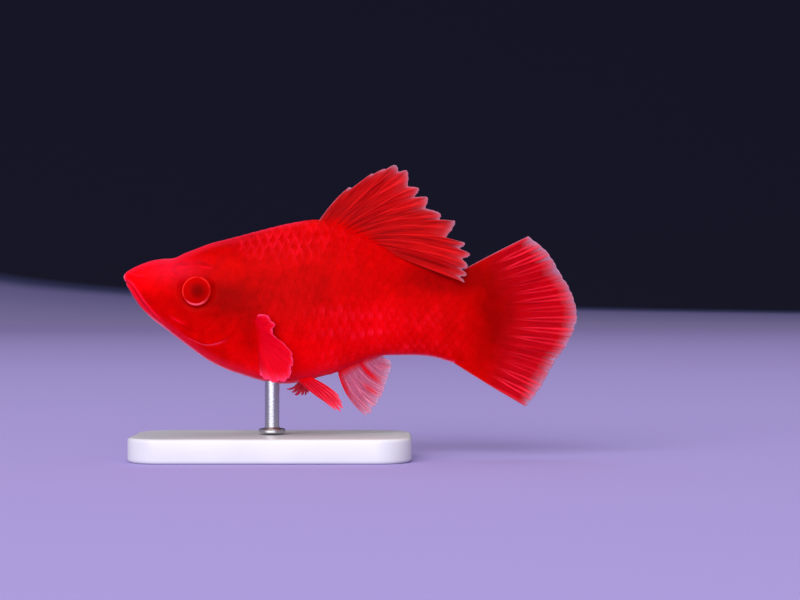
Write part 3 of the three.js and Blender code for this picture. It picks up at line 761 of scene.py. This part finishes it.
def make_scales(material):
    """Thin overlapping plates, which lean out towards their rear rims."""
    bm = bmesh.new()
    table = girth_table()
    roots = scale_roots(table)
    for _ in roots:
        bmesh.ops.create_grid(bm, x_segments=SCALE_CELLS, y_segments=SCALE_CELLS, size=1)
    flat = coordinates(bm)
    root_s, root_share, side, size = roots[np.arange(len(flat)) * len(roots) // len(flat)].T
    # Each plate is a square grid drawn to a disc, its rows pushed out towards the rim
    p, q = (np.sign(flat[:, i]) * np.abs(flat[:, i]) ** 0.6 for i in (0, 1))
    x, z = p * np.sqrt(1 - q * q / 2), q * np.sqrt(1 - p * p / 2)
    s = root_s + x * SCALE_REACH * size
    share = root_share + z * SCALE_SPREAD / SCALE_ROWS
    y, h = girth_places(table, s, share)
    here = placed(s, y * side, h)
    y_behind, h_behind = girth_places(table, s + STEP_BEHIND, share)
    y_round, h_round = girth_places(table, s, share + STEP_ROUND)
    behind = placed(s + STEP_BEHIND, y_behind * side, h_behind) - here
    around = placed(s, y_round * side, h_round) - here
    outward = np.cross(behind, around) * side[:, None]
    outward /= np.linalg.norm(outward, axis=1)[:, None]
    lift = SCALE_LIFT - SCALE_TILT * (1 - x) / 2 - 0.02 * z * z
    move_to(bm, here + outward * lift[:, None] * MM)
    # The rims carry a painted highlight, as crescents on the back and lower down only as short soft dashes.
    #     On the back each scale's middle is painted shade.
    high = smoothstep(2, 7, h)
    crescents = smoothstep(0.6, 1, np.hypot(x, z)) * smoothstep(0.1, 0.7, x)
    dashes = smoothstep(0.3, 0.85, x) * bell(z, 0.5)
    rim = (high * crescents + (1 - high) * dashes) * scaled(s, h) * rim_show(s, h)
    painted_shade_and_tone = 0.4 * high * (1 - smoothstep(0.4, 1, np.hypot(x, z))) * rim_show(s, h)
    # The larger scales are also the brighter ones, so that no two neighbours look quite the same
    bright = (size - SCALE_SIZES[0]) / (SCALE_SIZES[1] - SCALE_SIZES[0])
    rim = rim * (0.45 + 0.55 * bright)
    painted_shade_and_tone = painted_shade_and_tone - 0.11 * (bright - 0.5) * scaled(s, h)
    label(bm, tone=tone(s, h) - painted_shade_and_tone, blush=blush(s, h), lines=0 * s, bare=1 - scaled(s, h), rim=rim)
    patches = bm.loops.layers.uv.new("OFBake")
    bm.verts.index_update()
    for face in bm.faces:
        for loop in face.loops:
            i = loop.vert.index
            loop[patches].uv = (
                root_s[i] / SKIN_END + 0.5 * BAKE_PATCH * p[i],
                0.5 + 0.49 * side[i] * root_share[i] + 0.5 * BAKE_PATCH * q[i],
            )
    bm.normal_update()
    bmesh.ops.solidify(bm, geom=bm.verts[:] + bm.edges[:] + bm.faces[:], thickness=SCALE_THICKNESS * MM)
    piece = piece_from(bm, "scales", material)
    piece.data.set_sharp_from_angle(angle=math.radians(50))


# The fins

COLUMNS_PER_RAY = 18
FORK = (0.42, 0.78)
FORK_SPREAD = 0.38
SECOND_FORK = (0.72, 1.0)
SECOND_SPREAD = 0.15


def corners(points):
    """A line with sharp corners through (s, y, h) points, read by the share of the way along it."""
    places = np.linspace(0, 1, len(points))
    return lambda v: np.stack([np.interp(v, places, axis) for axis in zip(*points)], axis=-1)


def evenly(value):
    """The same value all across a fin."""
    return lambda v: value


@dataclass
class Fin:
    """A fin of soft rays. root, bend and tip are curves across it, from the first ray to the last.
    u is the share of the way along a ray, and v the share of the way across the fin."""

    rays: int
    root: object
    bend: object
    tip: object
    rows: int = 56
    across: tuple = (0, 1, 0)
    notch: float = 0.03  # how deep the edge is cut between rays, as a share of their length
    fringe: float = 0.008  # and between the branches of one ray
    membrane: float = 0.07  # half the web's thickness
    ridge: float = 0.14  # how far a ray stands out of it
    fold: object = evenly(0.1)  # how far the rays lean out by turns
    sway: float = 0.1
    root_half: object = evenly(0.3)  # half the thickness of the fleshy root
    flesh: float = 0.4  # how far along the root's flesh reaches, and how soon it thins
    taper: float = 1.6
    rays_from: float = 0
    ray_width: float = 0.13
    weakest: float = 0.7  # how strongly the weakest ray shows, from 0 to 1
    rim: object = evenly(1.7)  # how wide the pale edge is
    side_rim: float = 0.5  # and along the first and the last ray, where pale_sides shows it
    pale_sides: tuple = (True, True)
    # where the web is dark: stains, and painted shade on some fins
    stain: object = lambda u, v: 0 * u

    def __post_init__(self):
        self.across = np.array(self.across) / np.linalg.norm(self.across)
        self.lengths = np.array([random.uniform(-1, 1) for _ in range(self.rays)])
        self.gaps = np.array([random.uniform(0.5, 1.5) for _ in range(self.rays)])
        self.folds = np.array([random.uniform(0.5, 1.3) * (-1) ** i for i in range(self.rays)])
        self.strengths = np.array([random.uniform(self.weakest, 1) for _ in range(self.rays)])

    def ridges(self, u, w):
        """How much of a ray there is at u along the fin and w across one ray, from -1 to 1."""
        grown = smoothstep(self.rays_from - 0.01, self.rays_from + 0.25, u)
        return grown * bell(self.off_ray(u, w), self.ray_width * (1 - 0.4 * u))

    def off_ray(self, u, w):
        """How far a place across one ray is from the nearest of the ray's branches."""
        first = np.abs(np.abs(w) - FORK_SPREAD * smoothstep(*FORK, u))
        return np.abs(first - SECOND_SPREAD * smoothstep(*SECOND_FORK, u))

    def middle(self, u, v):
        """Places midway through the fin's thickness."""
        at = v * (self.rays - 1)
        ray = np.clip(np.rint(at).astype(int), 0, self.rays - 1)
        gap = np.clip(np.floor(at).astype(int), 0, self.rays - 1)
        w = 2 * (at - ray)
        between = np.abs(w) ** 2.2
        shorter = self.notch * (self.gaps[gap] * between + 0.4 * self.lengths[ray] * (1 - between))
        shorter = shorter + self.fringe * smoothstep(0.03, 0.2, self.off_ray(np.ones_like(w), w))
        t = (u * (1 - shorter * smoothstep(0.15, 1, u)))[:, None]
        place = self.root(v) * (1 - t) ** 2 + self.bend(v) * 2 * t * (1 - t) + self.tip(v) * t**2
        pleat = np.interp(at, np.arange(self.rays), self.folds)
        drift = self.fold(v) * pleat * smoothstep(0, 0.7, u) + self.sway * u * np.sin(at * 0.9 + 3 * u)
        return place + self.across * drift[:, None], self.ridges(u, w) * self.strengths[ray]

    def points(self, u, v, side):
        """Places on one face of the fin, with how much of a ray and how near the edge each one is."""
        place, ridge = self.middle(u, v)
        half = self.membrane * (1 - 0.45 * u) + self.ridge * (1 - 0.6 * u) * ridge
        fleshy = np.maximum(self.root_half(v) - half, 0)
        half = half + fleshy * np.maximum(0, 1 - u / self.flesh) ** self.taper
        half = half * (1 - 0.6 * smoothstep(0.94, 1, u))
        edge = np.linalg.norm(self.middle(np.ones_like(u), v)[0] - place, axis=1) / self.rim(v)
        for shown, end in zip(self.pale_sides, (0.0, 1.0)):
            if shown:
                to_side = np.linalg.norm(self.middle(u, np.full_like(v, end))[0] - place, axis=1)
                edge = np.minimum(edge, (to_side + 0.1 * (1 - u)) / self.side_rim)
        return place + self.across * (side * half)[:, None], ridge, edge


def make_fin(name, fin, material, mirrored=False):
    """The fin's two faces as two grids, joined round their edge."""
    bm = bmesh.new()
    columns = COLUMNS_PER_RAY * (fin.rays - 1)
    bmesh.ops.create_grid(bm, x_segments=columns, y_segments=fin.rows, size=0.5)
    face_side = bm.verts.layers.float.new("face_side")
    for vert in bm.verts:
        vert[face_side] = 1
    copied = bmesh.ops.duplicate(bm, geom=bm.verts[:] + bm.edges[:] + bm.faces[:])["geom"]
    for vert in (item for item in copied if isinstance(item, bmesh.types.BMVert)):
        vert[face_side] = -1
    bmesh.ops.reverse_faces(bm, faces=[item for item in copied if isinstance(item, bmesh.types.BMFace)])
    bmesh.ops.bridge_loops(bm, edges=[edge for edge in bm.edges if edge.is_boundary])
    flat = coordinates(bm)
    v, u = flat[:, 0] + 0.5, flat[:, 1] + 0.5
    places, ridge, edge = fin.points(u, v, np.array([vert[face_side] for vert in bm.verts]))
    s, y, h = places.T
    move_to(bm, placed(s, -y if mirrored else y, h))
    bmesh.ops.recalc_face_normals(bm, faces=bm.faces[:])
    label(bm, along=u, across=v, ridge=ridge, edge=edge, stain=fin.stain(u, v))
    label(bm, tone=tone(s, h), blush=0 * s, lines=0 * s, bare=0 * s)
    piece = piece_from(bm, f"{name}_web", material)
    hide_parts(name)


def root_along(edge, start, length, inside, out=0):
    """A fin's root along the line of the back or the belly, and a little inside it."""
    def root(v):
        s = start + length * v
        return np.stack([s, out + 0 * s, edge(s) + inside], axis=-1)

    return root


DORSAL_RAYS = 14


def dorsal():
    """The high dorsal fin, whose last rays droop to the fish's left past the root of the tail."""
    # Its edge, a ray's end and the bottom of a notch by turns
    tip = corners([
        (37.2, 0, 18.65), (37.8, 0, 18.6), (40.9, 0, 20.9), (41.4, 0, 20.95), (42.9, 0, 21.7),
        (43.4, 0, 21.75), (44.8, 0, 22.4), (45.7, 0, 21.4), (46.9, 0, 21.5), (47.2, 0, 18.9),
        (48.9, 0, 18.5), (48.3, 0, 17.1), (50.3, 0, 17.1), (50.1, 0, 15.2), (52.4, 0, 14.4),
        (52.6, 0, 13.3), (55.1, -0.1, 13.1), (53.6, -0.2, 10.2), (56.6, -0.5, 9.4), (56, -0.7, 8.3),
        (57.3, -0.9, 7.6), (56.4, -1.1, 6.6), (57, -1.3, 5.4), (56.2, -1.4, 4.9), (56.8, -1.6, 4.1),
        (55.9, -1.8, 3.7), (56.4, -1.9, 2.8),
    ])
    bend = curve([
        (34.3, 0, 16.4), (40.2, 0, 17.7), (43.6, 0, 14.3), (46.6, -0.2, 10.9), (47, -1.35, 6.3),
    ])

    # Dark streaks between the rays near the root, a long painted shadow by the last ray, where it lies close
    #     over the body, and a darker front
    def stain(u, v):
        at = v * (DORSAL_RAYS - 1)
        gap = np.floor(at)
        between = bell(at - gap - 0.5 - 0.2 * np.sin(5 * gap), 0.16) * (0.7 + 0.3 * np.sin(3 * gap))
        streaks = between * smoothstep(0.02, 0.07, u) * (1 - smoothstep(0.15, 0.55, u))
        last = 0.9 * bell(v - 0.925, 0.022) * smoothstep(0.15, 0.4, u) * (1 - smoothstep(0.75, 0.95, u))
        front = 0.35 * bell(v - 0.12, 0.09) * (1 - smoothstep(0.3, 0.8, u))
        return np.maximum(np.maximum(streaks, last), front)

    def fold(v):
        return 0.09 + 0.16 * smoothstep(0.5, 0.8, v)

    root = root_along(back_height, start=31.8, length=10.4, inside=-0.9)
    return Fin(DORSAL_RAYS, root, bend, tip, notch=0.012, rows=64, fold=fold, sway=0.25, flesh=0.28,
               root_half=evenly(1.1), taper=2.4, pale_sides=(True, False), stain=stain, fringe=0.015,
               side_rim=0.32, rim=evenly(1.3))


# The tail fin's root stands across the end of the body
TAIL_ROOT_TOP = 4.05
TAIL_ROOT_DEPTH = 14.35


def tail():
    """The wide tail fan, whose fleshy root closes over the end of the body."""
    def height(v):
        return TAIL_ROOT_TOP - TAIL_ROOT_DEPTH * v

    def root(v):
        return np.stack([BODY_END + 0.3 + 0 * v, 0 * v, height(v)], axis=-1)

    tip = curve([
        (66.9, 0, 10.6), (70.05, 0, 7.95), (72.3, 0, 4.4), (74.35, 0, 0.75), (TOTAL_LENGTH, 0, -3.3),
        (73.4, 0, -7.35), (71, 0, -10.85), (69, 0, -14.5), (66.5, 0, -17.7),
    ])

    def bend(v):
        edge = np.abs(2 * v - 1) ** 6
        start, end = root(v), tip(v)
        spread = 0.36 + 0.18 * edge
        rise = start[..., 2] + (end[..., 2] - start[..., 2]) * spread
        return np.stack([(start[..., 0] + end[..., 0]) / 2, 0 * v, rise], axis=-1)

    def root_half(v):
        return 0.9 * reach_at(BODY_END, height(v))

    rim = track([(0, 1.2), (0.05, 2.4), (0.35, 2.6), (0.6, 2.2), (0.9, 2.4), (1, 1.6)])
    return Fin(17, root, bend, tip, notch=0.004, rows=72, ridge=0.04, fold=evenly(0.02), sway=0.12,
               root_half=root_half, rim=rim, fringe=0.004, rays_from=0.36, ray_width=0.19, taper=1.15,
               weakest=0.2, side_rim=0.3)


def anal():
    """The female's fan-shaped anal fin."""
    root = root_along(belly_height, start=35.3, length=7.1, inside=0.3)
    tip = curve([
        (40, 0, -19.2), (41, 0, -18.3), (42.3, 0, -16.5), (43, 0, -15), (43.3, 0, -13.9),
        (43.7, 0, -12.5), (44.15, 0, -11.3), (44.2, 0, -10.5), (43.9, 0, -9.85),
    ])
    bend = curve([(36.2, 0, -16.3), (40.6, 0, -12.9), (43.2, 0, -9.85)])

    def stain(u, v):
        front = bell(v, 0.07) * (1 - smoothstep(0.35, 0.7, u))
        streak = bell(v - 0.5, 0.05) + 0.8 * bell(v - 0.3, 0.035) * smoothstep(0.45, 0.7, u)
        streak += 0.5 * bell(v - 0.8, 0.03) * smoothstep(0.3, 0.6, u)
        return np.clip(front + streak * (1 - smoothstep(0.8, 0.98, u)), 0, 1)

    return Fin(11, root, bend, tip, notch=0.035, rows=48, ridge=0.06, flesh=0.2, stain=stain,
               pale_sides=(False, False), rim=evenly(2.6), ray_width=0.11, weakest=0.3)


def pectoral():
    """A short fan that hangs back from behind the gill cover, for the left side."""
    def root(v):
        s, h = 22 + 0.5 * v, -3.4 - 4 * v
        return np.stack([s, -(reach_at(s, h) + 0.1), h], axis=-1)

    tip = corners([
        (22.6, -6.7, -2.4), (23.4, -6.8, -2.2), (24.3, -6.9, -2.5), (24.9, -7, -3.2), (25.5, -7.1, -4),
        (25.1, -7.2, -4.6), (25.1, -7.3, -5.5), (25.8, -7.4, -6.2), (26.7, -7.6, -6.8), (27.5, -7.8, -7.6),
        (28.2, -8, -8.5), (28.4, -8.1, -9.2), (28.45, -8.2, -10.1), (28.4, -8.3, -11.1), (28, -8.4, -12.3),
        (27.7, -8.5, -12.9), (27, -8.6, -13.3), (26.4, -8.6, -13.2), (25.4, -8.6, -13.4), (24.5, -8.5, -13),
        (23.8, -8.4, -12.8), (23.4, -8.4, -12.3), (23.1, -8.3, -12.2),
    ])
    bend = curve([(22.4, -6.9, -3), (24.6, -7.2, -6), (24.6, -7.4, -8.4), (22.8, -7.5, -10)])

    # Painted shade along the fin's lower front edge, where it meets the body's shadow
    def stain(u, v):
        return 0.85 * smoothstep(0.8, 1, v)

    return Fin(12, root, bend, tip, notch=0.025, rows=44, ridge=0.03, fold=evenly(0.02), sway=0.06,
               stain=stain, rim=lambda v: 0.6 + 1.8 * smoothstep(0.5, 0.85, v), across=(0.1, 0.97, 0.2),
               root_half=evenly(0.45), pale_sides=(False, False), rays_from=0.4, fringe=0.02)


def pelvic_root(side):
    return root_along(belly_height, start=28.9, length=2, inside=0.5, out=1.5 * side)


def pelvic_left():
    tip = curve([
        (33.4, -2.6, -16.7), (34.8, -2.6, -18), (35.8, -2.6, -18.2), (36.3, -2.5, -17.3),
        (35.6, -2.4, -15.6),
    ])
    bend = curve([(30.6, -2, -15.1), (32.8, -2, -14.8), (33.9, -1.9, -13.9)])
    return Fin(7, pelvic_root(-1), bend, tip, notch=0.07, rows=40, fold=evenly(0.08), fringe=0.015,
               ray_width=0.2, across=(0, 0.98, -0.2), root_half=evenly(0.5), pale_sides=(False, False))


def pelvic_right():
    tip = curve([
        (26.6, 5.6, -15), (27.7, 6.4, -15.7), (29, 6.7, -16.1), (30, 6.4, -15.8), (30.5, 5.8, -15.1),
    ])
    bend = curve([(28.3, 3.6, -14.9), (29.7, 3.9, -15.1), (30.8, 3.6, -14.7)])
    return Fin(7, pelvic_root(1), bend, tip, notch=0.3, rows=40, fold=evenly(0.06), fringe=0.03,
               across=(0, 0.3, 0.95), root_half=evenly(0.5), pale_sides=(False, False))


# The eyes

EYE_DEPTH = 1.3
EYE_SUNK = 0.62
IRIS_RING = 0.85
PUPIL_AT = (0.25, 0.05)


def make_eye(side_name, material):
    side = SIDES[side_name]
    s, h = EYE_AT
    axis = Vector((-0.1, side, 0.1)).normalized()  # a little forwards and up
    surface = Vector(placed(s, side * reach_at(s, h), h))
    centre = surface - axis * EYE_SUNK * MM
    bm = bmesh.new()
    bmesh.ops.create_uvsphere(bm, u_segments=72, v_segments=56, radius=1)
    ball = coordinates(bm)
    out = np.hypot(ball[:, 0], ball[:, 1])
    raised = 0.06 * bell(out - IRIS_RING, 0.05) - 0.05 * bell(out - 0.4, 0.1)
    depth = ball[:, 2] * EYE_DEPTH + np.where(ball[:, 2] > 0, raised, 0)
    shaped = np.stack([ball[:, 0] * EYE_RADIUS, ball[:, 1] * EYE_RADIUS, depth], axis=-1) * MM
    move_to(bm, shaped)
    turn = axis.to_track_quat("Z", "Y").to_matrix().to_4x4()
    bmesh.ops.transform(bm, matrix=Matrix.Translation(centre) @ turn, verts=bm.verts[:])
    along, _, up = ((coordinates(bm) - np.array(centre)) / MM).T
    from_pupil = np.hypot(along - PUPIL_AT[0], up - PUPIL_AT[1])
    # How low each point sits round the eye, which places the painted reflection on the ring
    low = smoothstep(0.4, 1, -up / np.maximum(np.hypot(along, up), 0.01))
    label(bm, from_axis=out * EYE_RADIUS, from_pupil=from_pupil, low=low)
    node = f"eye_{side_name}"
    piece = piece_from(bm, f"{node}_ball", material)
    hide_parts(node)


# The stand

BASE_CORNER = 6
BASE_EDGE = 0.6
# The collar round the rod, as (radius, height above the base) from its foot up
COLLAR = [(2.05, 0), (2.2, 0.15), (2.2, 0.5), (2.05, 0.68), (1.35, 0.8), (1.2, 0.95)]
ROD_RADIUS = 1.2
ROD_INTO_BELLY = 0.8
BY_AXIS = 0.01  # the outline starts and ends this far out, and the small holes left are filled


def make_base(material):
    low, high = (Vector(corner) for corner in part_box("stand_base"))
    size = high - low
    bm = bmesh.new()
    box = Matrix.Translation((low + high) / 2) @ Matrix.Diagonal((*size, 1))
    bmesh.ops.create_cube(bm, size=1, matrix=box)
    uprights = [e for e in bm.edges if abs(e.verts[0].co.z - e.verts[1].co.z) > 0.5 * size.z]
    bmesh.ops.bevel(bm, geom=uprights, offset=BASE_CORNER * MM, segments=16, affect="EDGES",
                    profile=0.5, material=-1)
    rims = [e for e in bm.edges if abs(e.verts[0].co.z - e.verts[1].co.z) < 1e-6 and len(e.link_faces) == 2
            and any(abs(f.normal.z) > 0.9 for f in e.link_faces)]
    bmesh.ops.bevel(bm, geom=rims, offset=BASE_EDGE * MM, segments=5, affect="EDGES",
                    profile=0.5, material=-1)
    piece = piece_from(bm, "stand_board", material)
    piece.data.set_sharp_from_angle(angle=math.radians(50))
    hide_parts("stand_base")


def make_rod(material):
    low, high = (Vector(corner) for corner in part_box("stand_rod"))
    foot = low.z / MM
    top = high.z / MM + ROD_INTO_BELLY
    profile = [(BY_AXIS, foot), *((radius, foot + up) for radius, up in COLLAR), (ROD_RADIUS, top),
               (BY_AXIS, top)]
    bm = bmesh.new()
    verts = [bm.verts.new((radius * MM, 0, z * MM)) for radius, z in profile]
    edges = [bm.edges.new(pair) for pair in zip(verts, verts[1:])]
    bmesh.ops.spin(bm, geom=verts + edges, cent=(0, 0, 0), axis=(0, 0, 1), angle=2 * math.pi, steps=48,
                   use_merge=True)
    bmesh.ops.holes_fill(bm, edges=[edge for edge in bm.edges if edge.is_boundary])
    bmesh.ops.recalc_face_normals(bm, faces=bm.faces[:])
    piece = piece_from(bm, "stand_pin", material)
    piece.data.set_sharp_from_angle(angle=math.radians(35))
    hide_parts("stand_rod")


# The studio

CAMERA_DISTANCE = 330
CAMERA_AT = 21.1
LENS = 90


def make_camera():
    data = bpy.data.cameras.new("camera")
    data.lens = LENS
    data.sensor_width = 36
    data.clip_start = 0.01
    data.clip_end = 20
    camera = in_scene("camera", data)
    camera.location = Vector((CAMERA_AT, -CAMERA_DISTANCE, AXIS_HEIGHT)) * MM
    camera.rotation_euler = Euler((math.radians(90), 0, 0))
    bpy.context.scene.camera = camera


def make_sweep(material):
    """A wide pale floor that turns up into a graduated wall far behind."""
    bm = bmesh.new()
    width, front, back, tall, turn, steps = 4.0, -1.2, 2.4, 1.6, 1.0, 16
    profile = [(front, 0), (back - turn, 0)]
    for i in range(1, steps + 1):
        angle = math.pi / 2 * i / steps
        profile.append((back - turn + turn * math.sin(angle), turn - turn * math.cos(angle)))
    profile.append((back, tall))
    verts = [bm.verts.new((-width / 2, y, z)) for y, z in profile]
    edges = [bm.edges.new(pair) for pair in zip(verts, verts[1:])]
    drawn = bmesh.ops.extrude_edge_only(bm, edges=edges)["geom"]
    moved = [item for item in drawn if isinstance(item, bmesh.types.BMVert)]
    bmesh.ops.translate(bm, vec=(width, 0, 0), verts=moved)
    bmesh.ops.recalc_face_normals(bm, faces=bm.faces[:])
    sweep = object_from(bm, "paper_sweep", material)


def soft_light(name, place, target, size, watts):
    data = bpy.data.lights.new(name, "AREA")
    data.shape = "RECTANGLE"
    data.size, data.size_y = size
    data.energy = watts
    light = in_scene(name, data)
    light.location = Vector(place)
    light.rotation_euler = (Vector(target) - Vector(place)).to_track_quat("-Z", "Y").to_euler()
    light.visible_camera = False


def make_lights():
    middle = (0.012, 0, AXIS_HEIGHT * MM)
    soft_light("front_softbox", (-0.5, -1.5, 0.85), middle, (2.2, 1.6), 42)
    soft_light("low_fill", (-0.05, -0.55, 0.03), middle, (0.7, 0.05), 0.6)
    soft_light("top_softbox", (0.1, 0.1, 1.4), middle, (1.6, 1.2), 7)
    world = bpy.data.worlds.new("studio")
    world.use_nodes = True
    background = world.node_tree.nodes["Background"]
    background.inputs["Color"].default_value = linear("#E4E2F0")
    background.inputs["Strength"].default_value = 0.4
    bpy.context.scene.world = world
    bpy.context.scene.view_settings.view_transform = "Standard"


# Putting it together

make_camera()
make_skin(fish_skin("mucus_coated_skin", scale_rims=False, scatter_mm=0.6, sheen=0.12))
make_scales(fish_skin("cycloid_scales", scale_rims=True, scatter_mm=0.1, sheen=0.03))

# The dorsal's dark colour serves its streaks and the painted shadow by its last ray
make_fin("dorsal_fin", dorsal(), fin_tissue(
    "dorsal_fin_skin", membrane="#BC0A0E", fold="#8C0406", ray="#DA161A", rim="#C88CA4", clear=0.1,
    fleshy=(0.05, 0.2), haze=0.06, dark="#7E0204"))
make_fin("tail_fin", tail(), fin_tissue(
    "tail_fin_skin", membrane="#B4000F", fold="#9B000B", ray="#FF2840", rim="#C894B2", clear=0.06,
    fleshy=(0.38, 0.66), rays_from=0.42, rays_show=0.8))
make_fin("anal_fin", anal(), fin_tissue(
    "anal_fin_skin", membrane="#C44662", fold="#A60B1D", ray="#E892AA", rim="#CCA0BC", clear=0.48,
    fleshy=(0.02, 0.2), edge_clear=0.8, dark="#C8061C"))
# The pectoral's dark colour is painted shade along its lower front edge
PECTORAL_SKIN = fin_tissue(
    "pectoral_fin_skin", membrane="#CA0018", fold="#C30014", ray="#E60424", rim="#FC4074", clear=0.02,
    fleshy=(0.02, 0.3), edge_clear=0.1, dark="#A60007")
PELVIC_SKIN = fin_tissue(
    "pelvic_fin_skin", membrane="#E20828", fold="#A40012", ray="#FF4862", rim="#F8668A", clear=0.06,
    fleshy=(0.02, 0.25), haze=0.05)
PECTORAL = pectoral()
make_fin("pectoral_fin_left", PECTORAL, PECTORAL_SKIN)
make_fin("pectoral_fin_right", PECTORAL, PECTORAL_SKIN, mirrored=True)
make_fin("pelvic_fin_left", pelvic_left(), PELVIC_SKIN)
make_fin("pelvic_fin_right", pelvic_right(), PELVIC_SKIN)

EYE = wet_eye()
for side_name in SIDES:
    make_eye(side_name, EYE)

make_base(satin_lacquer())
make_rod(ground_steel())
make_sweep(graduated_paper())
make_lights()
